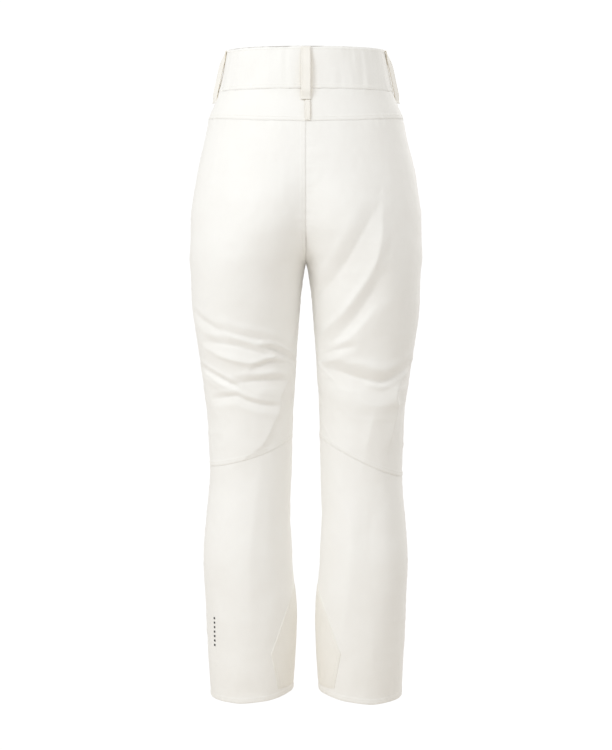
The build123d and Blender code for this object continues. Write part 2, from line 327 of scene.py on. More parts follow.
# %% [markdown]
# ## Folds
#
# The cloth is longer than the leg inside it, so it breaks into folds behind the knee
# and drapes diagonally under the seat. Each fold is drawn as a line across the unrolled
# tube, with a height, a width and a steeper side. A valley gets two soft shoulders,
# because the cloth it takes in has to go somewhere.

# %% The lists of folds
# kind, side, points (x, z) in mm, height, width, lean
BACK_FOLDS = [
    # behind the left knee
    ("valley", LEFT, [(180, -430), (160, -446), (134, -459)], 2.4, 6.0, 0.2),
    ("valley", LEFT, [(134, -456), (104, -466), (66, -474), (36, -482)], 3.2, 9.0, 0.3),
    ("ridge", LEFT, [(132, -463), (88, -478), (42, -482)], 2.6, 7.0, -0.3),
    ("valley", LEFT, [(66, -485), (44, -492), (20, -508)], 7.5, 6.0, 0.3),
    ("valley", LEFT, [(158, -476), (128, -480), (92, -488), (60, -499)], 3.6, 8.0, 0.3),
    ("ridge", LEFT, [(162, -488), (128, -503), (87, -511), (51, -501)], 4.2, 6.5, -0.35),
    ("valley", LEFT, [(83, -518), (56, -510), (28, -514)], 5.6, 5.5, 0.3),
    ("valley", LEFT, [(169, -520), (150, -531), (128, -542), (112, -550)], 5.0, 5.5, 0.3),
    ("ridge", LEFT, [(163, -531), (138, -546), (112, -557)], 3.6, 5.0, -0.3),
    ("valley", LEFT, [(112, -543), (66, -539), (32, -541)], 5.4, 8.0, 0.35),
    ("valley", LEFT, [(148, -570), (114, -565), (97, -572), (68, -580), (46, -583)],
     4.2, 5.0, 0.3),
    ("ridge", LEFT,
     [(29, -542), (44, -567), (44, -586), (53, -608), (69, -642), (88, -660)],
     5.0, 11.0, 0.5),
    ("ridge", LEFT, [(161, -575), (155, -640), (150, -682)], 0.9, 2.2, 0.0),
    # under the seat and down the right thigh
    ("valley", RIGHT, [(106, -270), (84, -312), (52, -362), (22, -398)], 4.6, 13.0, 0.2),
    ("ridge", RIGHT, [(122, -262), (112, -346), (63, -428), (28, -462)], 5.6, 12.0, 0.25),
    ("valley", RIGHT, [(118, -372), (98, -408), (70, -446), (30, -490)], 4.4, 13.0, 0.2),
    ("ridge", RIGHT, [(112, -420), (84, -458), (52, -484), (24, -496)], 3.8, 9.0, 0.2),
    # behind the right knee
    ("valley", RIGHT, [(44, -522), (78, -533), (122, -543), (144, -536), (168, -520)],
     8.5, 13.0, -0.3),
    ("ridge", RIGHT, [(100, -546), (128, -551), (166, -528)], 3.4, 6.0, 0.3),
    ("ridge", RIGHT, [(28, -512), (44, -508), (60, -504)], 3.0, 4.5, 0.0),
    ("valley", RIGHT, [(76, -484), (50, -489), (28, -497)], 3.0, 5.0, 0.0),
    ("ridge", RIGHT, [(168, -522), (152, -546), (143, -570), (146, -590), (137, -640)],
     6.0, 10.0, -0.5),
    ("ridge", RIGHT, [(112, -588), (103, -632), (96, -660)], 2.2, 12.0, 0.3),
    ("ridge", RIGHT, [(19, -513), (47, -543)], 0.9, 2.2, 0.0),
    ("ridge", RIGHT, [(22, -567), (25, -608), (47, -649)], 0.9, 2.2, 0.0),
    # down the lower legs
    ("ridge", LEFT, [(74, -690), (84, -760), (92, -850), (88, -960)], 2.6, 20.0, 0.3),
    ("valley", LEFT, [(40, -720), (46, -800), (40, -880)], 1.6, 12.0, 0.0),
    ("ridge", RIGHT, [(50, -700), (74, -780), (70, -880), (60, -990)], 3.0, 18.0, -0.3),
    ("valley", RIGHT, [(112, -730), (104, -800), (110, -880)], 1.6, 14.0, 0.0),
    ("ridge", RIGHT, [(107, -975), (112, -1016)], 1.4, 7.0, 0.0),
]
FRONT_FOLDS = [
    ("valley", LEFT, [(12, -330), (52, -316), (96, -296)], 3.4, 9.0, 0.2),
    ("valley", RIGHT, [(12, -334), (60, -326), (104, -310)], 3.0, 9.0, 0.2),
    ("valley", LEFT, [(16, -366), (60, -372), (100, -366)], 2.6, 9.0, 0.0),
    ("valley", RIGHT, [(16, -362), (56, -360), (90, -350)], 2.8, 9.0, 0.0),
    ("valley", LEFT, [(168, -622), (140, -636), (110, -640)], 3.0, 7.0, 0.2),
    ("valley", RIGHT, [(164, -640), (136, -652), (104, -650)], 3.4, 7.0, 0.2),
    ("valley", LEFT, [(24, -612), (50, -622), (76, -620)], 2.8, 7.0, 0.0),
    ("valley", RIGHT, [(24, -602), (52, -608), (80, -604)], 2.6, 7.0, 0.0),
    ("ridge", LEFT, [(100, -420), (108, -520), (100, -610)], 3.0, 20.0, 0.2),
    ("ridge", RIGHT, [(92, -410), (102, -510), (96, -600)], 3.0, 20.0, 0.2),
    ("ridge", LEFT, [(92, -720), (98, -840), (92, -980)], 2.6, 20.0, 0.0),
    ("ridge", RIGHT, [(96, -730), (90, -850), (96, -990)], 2.6, 20.0, 0.0),
]


def unrolled(angle, z):
    """How far round the tube an angle is, in mm."""
    _, a, _, b = section(z)
    return angle * (a + b) / 2


def curve_through(points, steps=6):
    """More points on a smooth curve through a few, by Catmull and Rom's rule."""
    p = np.array(points, float)
    p = np.vstack([2 * p[0] - p[1], p, 2 * p[-1] - p[-2]])
    out = []
    for a, b, c, d in zip(p, p[1:], p[2:], p[3:]):
        for t in np.arange(steps) / steps:
            bend = (2 * a - 5 * b + 4 * c - d) * t**2 + (3 * b - a - 3 * c + d) * t**3
            out.append(0.5 * (2 * b + (c - a) * t + bend))
    return np.array(out + [p[-2]])


def nearest_on(line, u, v):
    """Signed distance from points to a line in a plane, and the place along it."""
    best = np.full(u.shape, 1e9)
    place, sign = np.zeros(u.shape), np.ones(u.shape)
    count = len(line) - 1
    for k in range(count):
        (u0, v0), (u1, v1) = line[k], line[k + 1]
        du, dv = u1 - u0, v1 - v0
        t = np.clip(((u - u0) * du + (v - v0) * dv) / (du * du + dv * dv), 0, 1)
        gap = np.hypot(u - u0 - t * du, v - v0 - t * dv)
        nearer = gap < best
        best = np.where(nearer, gap, best)
        place = np.where(nearer, (k + t) / count, place)
        sign = np.where(nearer, np.sign((u - u0) * dv - (v - v0) * du), sign)
    return best * sign, place


def fold_height(kind, distance, place, height, width, lean):
    """One fold's height at a distance from its line. Its sides meet in a crisp edge."""
    wide = width * (1 + lean * np.sign(distance))
    d = np.abs(distance) / wide
    fade = np.sin(np.pi * np.clip(place * 0.92 + 0.04, 0, 1)) ** 0.5
    if kind == "ridge":
        return height * np.exp(-(d**1.2)) * fade
    shoulders = bell(d - 2.2) * 0.35
    return height * fade * (shoulders - np.exp(-(d**1.15)))


def folds(side, angle, z):
    """The height of all the folds together."""
    total = np.zeros(z.shape)
    u = unrolled(angle, z)
    for face, drawn in ((BACK, BACK_FOLDS), (FRONT, FRONT_FOLDS)):
        for kind, fold_side, points, height, width, lean in drawn:
            if fold_side != side:
                continue
            line = curve_through(points)
            turn = face * edge_angle(line[:, 0], line[:, 1])
            line = np.stack([unrolled(turn, line[:, 1]), line[:, 1]], -1)
            distance, place = nearest_on(line, u, z)
            total += fold_height(kind, distance, place, height, width, lean)
    return total


FULLER = 2.8  # how far the outer side of the leg hangs out, in mm
CHEEK, CLEFT = 2.8, 7.0  # how far the seat stands out, and dips at its seam, in mm
SOFTENING_STEPS = np.linspace(-42, 42, 9)  # steps in height to take an average over


def back_at(x, z):
    """How far back the tube stands at x and z, in mm."""
    cx, a, cy, b = section(z)
    return cy + b * np.sqrt(1 - np.clip((x - cx) / a, -1, 1) ** 2)


def under_seat(x, angle, z):
    """Softens the turn from seat to thigh, which stacked ellipses make too sudden."""
    softened = sum(back_at(x, z + step) for step in SOFTENING_STEPS)
    softened /= len(SOFTENING_STEPS)
    near = np.exp(-(((z - CROTCH_Z - 7) / 80) ** 4)) * np.clip(np.sin(angle), 0, 1) ** 2
    return (softened - back_at(x, z)) * near


def relief(side, angle, z):
    """How far the cloth stands off the tube, in mm."""
    points, _ = tube_points(side, angle, z)
    under_waist = smooth((-80 - z) / 120)
    dents = 1.3 * noise(points, (70, 70, 95)) + 0.6 * noise(points, (26, 26, 40), 3.3)
    creases = 0.3 * noise(points, (9, 9, 13), 9.1)
    behind_knee = 0.3 + 0.7 * bell((z + 545) / 90)
    sharp = (1 - np.abs(noise(points, (44, 44, 24), 4.7))) ** 3
    creases = creases + 0.8 * sharp * behind_knee
    x = np.abs(points[..., 0])
    seat = CHEEK * bell((x - 78) / 46) - CLEFT * bell(x / 30)
    seat = seat * (np.sin(angle) > 0) * bell((z + 268) / 58)
    fuller = FULLER * smooth((-330 - z) / 120) * np.clip(np.cos(angle), 0, 1)
    uneven = (dents + creases) * (0.35 + 0.65 * under_waist)
    return folds(side, angle, z) + fuller + seat + under_seat(x, angle, z) + uneven


print(len(BACK_FOLDS) + len(FRONT_FOLDS), "folds")


# %% [markdown]
# ## Cloths and finishes
#
# The outer cloth is a plain-woven polyester with a soft satin face. Its threads are too
# fine to see from the camera, so the weave is drawn a few times coarser than it is. The
# finishes differ in colour, thread spacing and sheen, and one function makes them all.

# %% Cloth, moulded and plated stock
WAVE_LENGTH = 2 * math.pi / 20  # a wave texture's length at scale 1


def woven(name, light, dark, thread_mm, roughness, sheen, depth_mm=0.08, ribs=(1, 1)):
    """Cloth woven from two crossing sets of threads, on the piece's own UV map."""
    material, sockets = start_material(name, roughness, sheen=sheen)
    place = add(material, "ShaderNodeUVMap", uv_map="cloth")
    warp, weft = [
        add(material, "ShaderNodeTexWave",
            {"Vector": place.outputs[0], "Scale": WAVE_LENGTH / (thread_mm * rib * MM),
             "Distortion": 0.4, "Detail": 1.0, "Detail Scale": 2.0}, bands_direction=way)
        for way, rib in zip("XY", ribs)
    ]
    weave = add(material, "ShaderNodeMath", {0: warp.outputs[1], 1: weft.outputs[1]},
                operation="MULTIPLY")
    where = add(material, "ShaderNodeTexCoord")
    cloud = add(material, "ShaderNodeTexNoise",
                {"Vector": where.outputs["Object"], "Scale": 22.0, "Detail": 5.0})
    slub = add(material, "ShaderNodeTexNoise",
               {"Vector": where.outputs["Object"], "Scale": 420.0, "Detail": 3.0})
    tone = add(material, "ShaderNodeMath",
               {0: weave.outputs[0], 1: 0.35, 2: cloud.outputs[0]},
               operation="MULTIPLY_ADD")
    colour = add(material, "ShaderNodeMix",
                 {"Factor": tone.outputs[0], "A": linear(dark), "B": linear(light)},
                 data_type="RGBA")
    shine = add(material, "ShaderNodeMapRange",
                {"Value": slub.outputs[0], "To Min": roughness - 0.06,
                 "To Max": roughness + 0.08})
    threads = add(material, "ShaderNodeBump",
                  {"Height": weave.outputs[0], "Strength": 0.5,
                   "Distance": depth_mm * MM})
    fuzz = add(material, "ShaderNodeBump",
               {"Height": slub.outputs[0], "Strength": 0.35, "Distance": 0.1 * MM,
                "Normal": threads.outputs[0]})
    return finish_material(material, sockets, colour, shine, fuzz)


def moulded(name, light, dark, grain_mm, roughness, metallic=0.0, coat=0.0):
    """Moulded, cast or plated stock, with its grain on the piece's own place."""
    material, sockets = start_material(name, roughness, metallic, coat=coat)
    where = add(material, "ShaderNodeTexCoord")
    grain = add(material, "ShaderNodeTexNoise",
                {"Vector": where.outputs["Object"], "Scale": 1 / (grain_mm * MM),
                 "Detail": 4.0})
    colour = add(material, "ShaderNodeMix",
                 {"Factor": grain.outputs[0], "A": linear(dark), "B": linear(light)},
                 data_type="RGBA")
    shine = add(material, "ShaderNodeMapRange",
                {"Value": grain.outputs[0], "To Min": roughness - 0.07,
                 "To Max": roughness + 0.1})
    bump = add(material, "ShaderNodeBump",
               {"Height": grain.outputs[0], "Strength": 0.3, "Distance": 0.05 * MM})
    return finish_material(material, sockets, colour, shine, bump)


# %% The finishes
SHELL_CLOTH = woven("satin_woven_polyester", "FCFBF8", "F7F5F1", 1.1, 0.62, 0.25)
BAND_CLOTH = woven("satin_woven_polyester_band", "FCFBF8", "F6F4F0", 1.1, 0.64, 0.25)
SCUFF_CLOTH = woven("coated_oxford_polyester", "FCFAF5", "F6F3EC", 1.5, 0.55, 0.15, 0.16)
LOOP_CLOTH = woven("belt_loop_twill", "FBF8F2", "F4F0E8", 1.2, 0.66, 0.2)
LINING_CLOTH = woven("polyester_taffeta", "DAD9D6", "C9C8C5", 0.7, 0.45, 0.2, 0.04)
FACING_CLOTH = woven("brushed_tricot", "D9D6D0", "C4C1BB", 0.9, 0.9, 0.7, 0.12, (1, 2))
GAITER_CLOTH = woven("nylon_taffeta", "CFCDC9", "BFBDB9", 0.8, 0.5, 0.2, 0.05)
ELASTIC_CLOTH = woven("ribbed_woven_elastic", "E9E6DF", "D5D1C8", 1.4, 0.75, 0.3, 0.4,
                      (1, 3))
TAPE_CLOTH = woven("woven_zip_tape", "ECE9E1", "D9D5CB", 0.9, 0.7, 0.3, 0.15, (2, 1))
THREAD = moulded("spun_polyester_thread", "FAF8F3", "EFECE4", 0.4, 0.6)
ACETAL = moulded("moulded_acetal", "E9E6DE", "DAD6CB", 1.2, 0.35)
ENAMEL = moulded("enamelled_zinc", "E8E5DC", "D8D4CA", 2.0, 0.3, coat=0.4)
GRIP = moulded("soft_moulded_rubber", "DEDAD1", "CDC8BD", 0.6, 0.75)
NICKEL = moulded("satin_nickel", "D2CFC8", "B9B6AF", 0.5, 0.32, metallic=1.0)
PRINT_INK = moulded("transfer_print_ink", "3E3D3B", "2C2B2A", 0.5, 0.5)
# painted shade: a darker golden tan for the loops' faces that turn towards the band,
# standing in for the shadow between loop and band
PAINTED_LOOP_SHADE = woven("belt_loop_painted_shade", "EADFC9", "D4C3A0", 1.1, 0.8, 0.1)
print(len(bpy.data.materials), "materials")


# %% [markdown]
# ## Cloth panels
#
# A panel is a grid of points between two seams. Its rows crowd together near the seams,
# where the cloth is folded under, and spread out between them. The same grid gives the
# panel its UV map, so the weave follows the cut, and its flat size.

# %% Grids
def spread(length, step, fine=0.9, edge=11.0):
    """Places from 0 to 1 along a length: close together near both ends."""
    edge = min(edge, length * 0.3)
    ends = np.arange(0, edge, fine)
    middle = np.linspace(edge, length - edge, max(2, round((length - 2 * edge) / step)))
    return np.concatenate([ends, middle, (length - ends)[::-1]]) / length


def lengths_along(points, axis):
    """How far along its row or column each point of a grid is, in mm."""
    step = np.linalg.norm(np.diff(points, axis=axis), axis=-1)
    pad = [(0, 0), (0, 0)]
    pad[axis] = (1, 0)
    return np.cumsum(np.pad(step, pad), axis=axis)


def flat_size(points):
    """Width, length and area of a grid laid flat, in metres."""
    across = lengths_along(points, 1)[:, -1].max() * MM
    down = lengths_along(points, 0)[-1].max() * MM
    one = points[1:, 1:] - points[:-1, :-1]
    two = points[1:, :-1] - points[:-1, 1:]
    area = np.linalg.norm(np.cross(one, two), axis=-1).sum() / 2 * MM * MM
    return across, down, min(area, across * down)


def new_mesh(name, vertices, faces, uvs=None, material=None):
    """A mesh object from points in mm, shaded smooth."""
    mesh = bpy.data.meshes.new(name)
    mesh.from_pydata((np.asarray(vertices) * MM).tolist(), [], faces)
    if uvs is not None:
        layer = mesh.uv_layers.new(name="cloth")
        corner = np.zeros(len(mesh.loops), int)
        mesh.loops.foreach_get("vertex_index", corner)
        layer.data.foreach_set("uv", (np.asarray(uvs)[corner] * MM).ravel())
    mesh.polygons.foreach_set("use_smooth", np.ones(len(mesh.polygons), bool))
    mesh.update()
    piece = bpy.data.objects.new(name, mesh)
    bpy.context.scene.collection.objects.link(piece)
    if material:
        mesh.materials.append(material)
    return piece


def grid_faces(rows, cols, flip=False):
    """The quads of a grid, in the order that makes them face outwards."""
    corners = np.arange(rows * cols).reshape(rows, cols)
    quads = np.stack([corners[:-1, :-1], corners[1:, :-1], corners[1:, 1:],
                      corners[:-1, 1:]], -1).reshape(-1, 4)
    return (quads[:, ::-1] if flip else quads).tolist()


def make_active(piece):
    bpy.ops.object.select_all(action="DESELECT")
    piece.select_set(True)
    bpy.context.view_layer.objects.active = piece


def thicken(piece, thickness_mm):
    """Gives a sheet its thickness, inwards, and applies it."""
    make_active(piece)
    solid = piece.modifiers.new("thickness", "SOLIDIFY")
    solid.thickness = thickness_mm * MM
    solid.offset = -1
    bpy.ops.object.modifier_apply(modifier=solid.name)


def sheet_from(name, points, flip, thickness, material, base=None):
    """A cloth piece from a grid of points, with its UV map, and its flat size."""
    rows, cols = points.shape[:2]
    base = points if base is None else base
    uvs = np.stack([lengths_along(base, 1), -lengths_along(base, 0)], -1)
    piece = new_mesh(name, points.reshape(-1, 3), grid_faces(rows, cols, flip),
                     uvs.reshape(-1, 2), material)
    thicken(piece, thickness)
    return piece, flat_size(base)


LEAST_SIDE = 0.0102  # metres; a sheet's flat side is declared as no less than this


def declare(piece, size, attach, side_name, replaced):
    """Attaches a sheet to what it moves with and hides the parts it stands for; its flat
    size is read but kept nowhere.
    """
    attach(piece, side_name)
    if replaced:
        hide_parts(*replaced)
    width, length, area = size
    width, length = max(width, LEAST_SIDE), max(length, LEAST_SIDE)


# %% [markdown]
# ## Seams
#
# Most seams here are felled: both raw edges lie under the upper piece, which stands up
# as a strip with two rows of topstitching, and the lower piece dives under its edge.
# The thread pulls the cloth into small puckers beside every seam.

# %% Seam shapes
BAND_TOP, BAND_BOTTOM = 0.0, -69.0  # heights of the waistband's edges
STRIP = 8.0  # width of a felled seam's raised strip
STITCH_ROWS = (1.7, 6.6)  # distance of the rows of topstitching from the seam
TOP_ROW = 5.0  # distance of the band's upper row from its top edge
STITCH_PITCH, STITCH_LENGTH, THREAD_R = 3.2, 2.5, 0.3


def felled(d, strip=STRIP, rise=0.5):
    """Height of the upper piece at a distance d from the seam."""
    strip_shape = rise * (1 - smooth((d - strip + 1.2) / 2.4))
    turned_edge = -rise * bell(d / 0.8)
    rows = sum(-0.22 * bell((d - row) / 0.7) for row in STITCH_ROWS)
    return strip_shape + turned_edge + rows


def tucked(d):
    """Height of the lower piece at a distance d from the seam."""
    return -0.12 * bell(d / 1.6)


def plain(d):
    """Height of either piece at a distance d from a seam with no topstitching."""
    return -0.25 * bell(d / 1.1)


SEAM_SHAPES = {"felled": felled, "tucked": tucked, "plain": plain}


def puckers(points, d, strength=0.55, upright=False):
    """Short waves across a seam that die out away from it."""
    size = (30, 30, 4.6) if upright else (6, 6, 24)
    return strength * noise(points, size, 5.5) * bell(d / 12.0)


SEAM_LINES = {  # height of each seam at x, in mm, as listed points
    "yoke": {side: [(0, -122), (80, -119.5), (170, -113)] for side in (LEFT, RIGHT)},
    "knee": {
        LEFT: [(20, -640), (60, -659), (96, -671), (165, -690)],
        RIGHT: [(20, -638), (79, -669), (120, -689), (165, -709)],
    },
    "hem": {
        LEFT: [(15, -1062), (60, -1070), (110, -1075), (165, -1074)],
        RIGHT: [(15, -1063), (60, -1071), (110, -1077), (165, -1075)],
    },
}


def level(z):
    """A straight edge: its height is the same at every x."""
    def height(side, x):
        return np.full(np.shape(x), float(z))
    return height


def seam(name):
    """An edge that follows a seam."""
    def height(side, x):
        return np.interp(x, *np.array(SEAM_LINES[name][side], float).T)
    return height


def heights_between(side, face, share, turn, top, bottom):
    """Heights of a panel's grid, whose top and bottom are seams that depend on x.

    x depends on the height in turn, so both are worked out again a few times.
    """
    def settle(line):
        z = line(side, np.full(turn.shape, 90.0))
        for _ in range(6):
            angle = face * turn * edge_angle(centre_edge(face, z), z)
            x = np.abs(tube_points(side, angle, z)[0][..., 0])
            z = line(side, x)
        return z
    high, low = settle(top), settle(bottom)
    return high + (low - high) * share


# %% [markdown]
# The legs bend at the hip and at the knee. Where each bend starts and which way it runs
# are given here: at the hip it starts at the crotch and runs up and outwards, as the
# crease of a lifted thigh does, so that the centre seams would not pull apart. A panel
# that crosses a joint is not bent or tied to a body here; its place is only baked in.

# %% Riding, and the places of the bends
# where each bend starts on the left, the way it goes, and how far, in metres
HIP_START, HIP_WAY, HIP_LENGTH = Vector((0, 0, -0.356)), Vector((0.62, 0, -0.785)), 0.215
KNEE_START, KNEE_WAY = Vector((0.0915, 0, -0.688)), Vector((-0.388, 0, -0.922))
KNEE_LENGTH = 0.15


def mirrored_x(vector, side):
    return Vector((vector.x * side, vector.y, vector.z))


def bend(piece, side_name, upper, lower, start, way, length):
    start, way = [mirrored_x(v, SIDES[side_name]) for v in (start, way)]
    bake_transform(piece)


def bend_hip(piece, side_name):
    bend(piece, side_name, "hips", "thigh_" + side_name, HIP_START, HIP_WAY, HIP_LENGTH)


def bend_knee(piece, side_name):
    bend(piece, side_name, "thigh_" + side_name, "shin_" + side_name,
         KNEE_START, KNEE_WAY, KNEE_LENGTH)


def ride_hips(piece, side_name):
    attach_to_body(piece, "hips")


def ride_shin(piece, side_name):
    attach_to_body(piece, "shin_" + side_name)


def ride_tab(piece, side_name):
    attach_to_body(piece, "waist_tab")


# %% Topstitching
def stitch_mesh(lines):
    """Every stitch along some lines: a thin six-sided bead with pointed ends.

    A line is its points and the directions that leave the cloth there.
    """
    vertices, faces = [], []
    around = np.arange(6) * math.pi / 3
    for points, out in lines:
        run = np.concatenate([[0], np.cumsum(np.linalg.norm(np.diff(points, axis=0),
                                                            axis=1))])
        starts = np.arange(0.5, run[-1] - STITCH_LENGTH, STITCH_PITCH)
        marks = starts[:, None] + np.array([0, 0.22, 0.78, 1.0]) * STITCH_LENGTH
        place = np.stack([np.interp(marks, run, points[:, k]) for k in range(3)], -1)
        lift = np.stack([np.interp(marks[:, 1], run, out[:, k]) for k in range(3)], -1)
        for p, up in zip(place, lift):
            across = unit(np.cross(unit(p[3] - p[0]), up))
            first = len(vertices)
            vertices.append(p[0] - up * 0.25)
            for end in (p[1], p[2]):
                for turn in around:
                    rise = up * (0.12 + THREAD_R * math.sin(turn))
                    vertices.append(end + rise + across * THREAD_R * math.cos(turn))
            vertices.append(p[3] - up * 0.25)
            for k in range(6):
                n = (k + 1) % 6
                faces.append([first, first + 1 + n, first + 1 + k])
                faces.append([first + 1 + k, first + 1 + n, first + 7 + n, first + 7 + k])
                faces.append([first + 13, first + 7 + k, first + 7 + n])
    return np.array(vertices), faces


def add_stitches(name, lines, attach, side_name):
    vertices, faces = stitch_mesh(lines)
    piece = new_mesh(name, vertices, faces, material=THREAD)
    mesh_outwards(piece)
    attach(piece, side_name)


def mesh_outwards(piece):
    """Recalculates the normals of closed shapes so that they point out."""
    make_active(piece)
    bpy.ops.object.mode_set(mode="EDIT")
    bpy.ops.mesh.select_all(action="SELECT")
    bpy.ops.mesh.normals_make_consistent(inside=False)
    bpy.ops.object.mode_set(mode="OBJECT")


def row_line(points, distances, wanted, axis):
    """The line on a grid at a wanted distance from one of its edges."""
    grid = points if axis == 0 else np.swapaxes(points, 0, 1)
    away = distances if axis == 0 else np.swapaxes(distances, 0, 1)
    line = np.empty((grid.shape[1], 3))
    for j in range(grid.shape[1]):
        order = np.argsort(away[:, j])
        for k in range(3):
            line[j, k] = np.interp(wanted, away[order, j], grid[order, j, k])
    return line


print("helpers are ready")


# %% [markdown]
# ## The leg panels
#
# The back of each leg is one long panel from the yoke to the knee seam, and one panel
# from there to the hem. The front is the same, and leaves an opening for the fly. They are
# sculpted in code rather than simulated, because the folds have to sit where they do.

# %% Panel maker
SHELL_THICK = 2.4
FLY_HALF = 8.4  # half the width of the fly's opening


def centre_edge(face, z):
    """x at which a panel stops near the centre: the fly leaves an opening in front."""
    if face == BACK:
        return np.zeros(z.shape)
    fly = smooth((z + 236) / 5) * smooth((-70 - z) / 3)
    return FLY_HALF * fly


def panel_points(side, face, top, bottom, edges, rows, cols):
    """The grid of a panel, its undisturbed grid, its distances to its four edges."""
    turn, share = np.meshgrid(cols, rows)
    z = heights_between(side, face, share, turn, top, bottom)
    angle = face * turn * edge_angle(centre_edge(face, z), z)
    base, out = tube_points(side, angle, z)
    down, across = lengths_along(base, 0), lengths_along(base, 1)
    gaps = {"top": down, "bottom": down[-1] - down, "side": across,
            "centre": across[:, -1:] - across}
    height = relief(side, angle, z)
    for edge, shape in edges.items():
        height = height + SEAM_SHAPES[shape](gaps[edge])
        height = height + puckers(base, gaps[edge], upright=edge in ("side", "centre"))
    return base + out * height[..., None], base, out, gaps


def stitch_lines(points, out, gaps, edges):
    """The rows of topstitching beside every felled edge."""
    lines = []
    for edge, shape in edges.items():
        if shape != "felled":
            continue
        axis = 0 if edge in ("top", "bottom") else 1
        for row in STITCH_ROWS:
            lines.append((row_line(points, gaps[edge], row, axis),
                          row_line(out, gaps[edge], row, axis)))
    return lines


def add_panel(name, side_name, face, top, bottom, length, width, replaced, attach,
              centre="plain", step=3.2):
    """One outer panel with its topstitching. Length and width are rough, for the rows."""
    edges = {"top": "tucked", "bottom": "felled", "side": "plain", "centre": centre}
    side = SIDES[side_name]
    rows, cols = spread(length, step), spread(width, step)
    points, base, out, gaps = panel_points(side, face, top, bottom, edges, rows, cols)
    piece, size = sheet_from(name, points, side * face < 0, SHELL_THICK, SHELL_CLOTH,
                             base)
    lines = stitch_lines(points, out, gaps, edges)
    if lines:
        add_stitches(name + "_stitches", lines, attach, side_name)
    declare(piece, size, attach, side_name, replaced)
    print(name, points.shape[0] * points.shape[1], "points")


# %% Back and front leg panels
for side_name in SIDES:
    add_panel(f"back_leg_panel_{side_name}", side_name, BACK, seam("yoke"), seam("knee"),
              550, 250, [f"seat_back_{side_name}", f"thigh_back_{side_name}"], bend_hip,
              centre="felled" if side_name == "left" else "tucked", step=2.5)
    add_panel(f"front_leg_panel_{side_name}", side_name, FRONT, level(BAND_BOTTOM),
              seam("knee"), 600, 230,
              [f"seat_front_{side_name}", f"thigh_front_{side_name}"], bend_hip)
    add_panel(f"lower_back_panel_{side_name}", side_name, BACK, seam("knee"), seam("hem"),
              410, 230, [f"lower_leg_back_{side_name}"], bend_knee)
    add_panel(f"lower_front_panel_{side_name}", side_name, FRONT, seam("knee"),
              seam("hem"), 410, 220, [f"lower_leg_front_{side_name}"], bend_knee)
    add_panel(f"yoke_{side_name}", side_name, BACK, level(BAND_BOTTOM), seam("yoke"),
              52, 210, [f"back_yoke_{side_name}"], ride_hips)


# %% [markdown]
# ## Waistband
#
# The back of the band holds elastic, which draws the cloth into small upright gathers.
# The outer cloth and the facing are two layers joined at the top edge.

# %% Waistband cloth
def gathers(points, z, strength):
    """Upright ripples that are deepest beside the elastic's two rows of stitching."""
    near_edges = 0.45 + 0.55 * np.abs(np.sin((z - BAND_BOTTOM) / 69 * math.pi + 1.57))
    ripples = noise(points, (11, 11, 120), 2.2) + 0.6 * noise(points, (6, 6, 60), 4.4)
    return strength * near_edges * ripples


def add_band(name, start, end, strength, replaced):
    """Part of the band between two angles round the waist, measured from the left."""
    rows = spread(69, 2.4)
    cols = spread(abs(end - start) * 125, 2.4)
    share, turn = np.meshgrid(rows, cols, indexing="ij")
    z = BAND_TOP + (BAND_BOTTOM - BAND_TOP) * share
    angle = start + (end - start) * turn
    base, out = tube_points(LEFT, angle, z)
    down, across = lengths_along(base, 0), lengths_along(base, 1)
    gaps = {"top": down, "bottom": down[-1] - down}
    height = gathers(base, z, strength) + 0.9 * noise(base, (60, 60, 40), 1.1)
    height += felled(gaps["bottom"], 7.0, 0.7)
    height += -1.8 * bell(gaps["top"] / 1.8)
    points = base + out * height[..., None]
    piece, size = sheet_from(name, points, end < start, 1.8, BAND_CLOTH, base)
    lines = stitch_lines(points, out, gaps, {"bottom": "felled"})
    lines.append((row_line(points, down, TOP_ROW, 0), row_line(out, down, TOP_ROW, 0)))
    add_stitches(name + "_stitches", lines, ride_hips, "left")
    declare(piece, size, ride_hips, "left", [replaced])


FACING_TOP, FACING_LENGTH, FACING_DEPTH = -1.0, 67, 4.2
FRONT_ANGLE, FRONT_GAP = -math.pi / 2, 0.012  # the gap keeps the two halves apart


def add_facing(side_name):
    """The band's inner layer on one side, which meets the outer cloth at the top."""
    share, turn = np.meshgrid(np.linspace(0, 1, 16), np.linspace(0, 1, 90),
                              indexing="ij")
    z = FACING_TOP - FACING_LENGTH * share
    angle = FRONT_ANGLE + FRONT_GAP + (math.pi - FRONT_GAP) * turn
    side = SIDES[side_name]
    base, out = tube_points(side, angle, z, FACING_DEPTH)
    rise = 0.8 * noise(base, (40, 40, 30), 8.0) + 3.2 * bell(share * 22)
    points = base + out * rise[..., None]
    facing, size = sheet_from(f"waistband_facing_{side_name}", points, side < 0, 1.0,
                              FACING_CLOTH, base)
    declare(facing, size, ride_hips, side_name, [f"waist_facing_{side_name}"])


for side_name in SIDES:
    add_facing(side_name)

add_band("waistband_back_cloth", 0.0, math.pi, 1.1, "waistband_back")
add_band("waistband_front_cloth_left", -math.pi / 2 + 0.004, 0.0, 0.35,
         "waistband_front_left")
add_band("waistband_front_cloth_right", math.pi, 1.5 * math.pi - 0.004, 0.35,
         "waistband_front_right")


# %% [markdown]
# ## Lining, gaiters and scuff guards
#
# The lining hangs a few millimetres inside the outer cloth and is seen at the waist and
# in the legs. At the ankle a gaiter narrows to an elastic hem that grips the boot, and
# a patch of tougher cloth guards the inner side of the hem from the ski's edge.

# %% Lining
LINING_DEPTH = 6.5
GAITER_TOP, GAITER_FOOT = -888.0, -1046.0
GRIPPER_TOP, GRIPPER_FOOT, GRIPPER_STAND = -1024.0, -1044.0, 1.4


